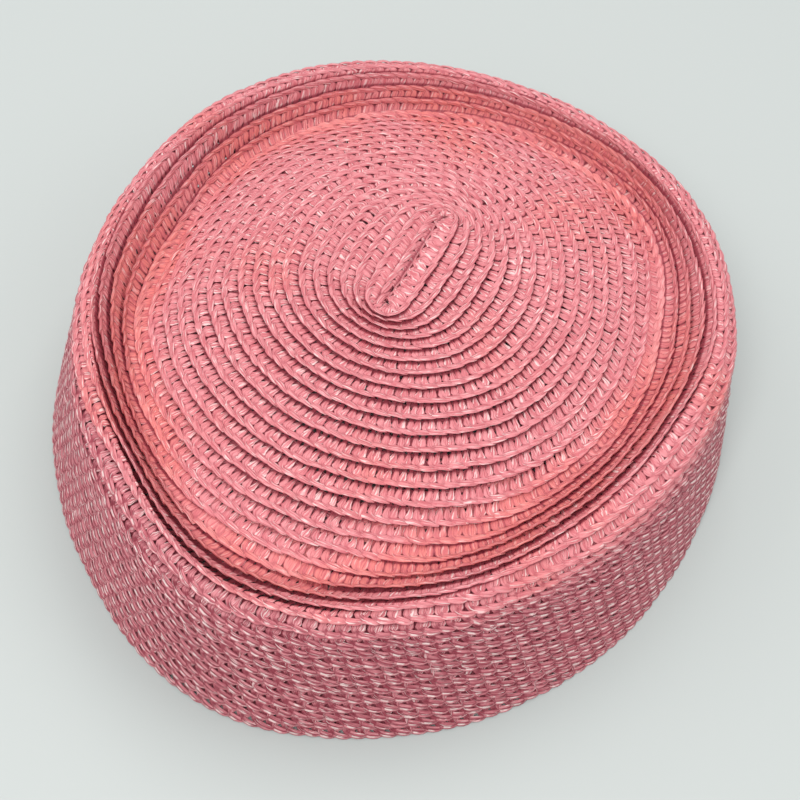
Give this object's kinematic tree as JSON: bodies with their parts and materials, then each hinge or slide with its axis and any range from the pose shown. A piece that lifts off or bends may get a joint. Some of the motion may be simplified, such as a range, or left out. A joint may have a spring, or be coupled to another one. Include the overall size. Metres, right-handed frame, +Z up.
{
  "type": "pillbox hat",
  "caption": "Oval pillbox hat of sewn straw braid, with a domed crown sunk inside a raised rim and a side wall that flares to a flat edge.",
  "frame": {"origin": "middle of the flat lower edge, on the surface the hat stands on", "axes": "+Z up, the front of the hat faces -Y, the long axis of the oval lies along Y, +X is the wearer's left"},
  "size_m": [0.173, 0.195, 0.0461],
  "materials": {
    "straw": "rose pink sewn straw braid, slightly glossy"
  },
  "bodies": {
    "root": {"straw_hat": "straw"}
  },
  "joints": []
}
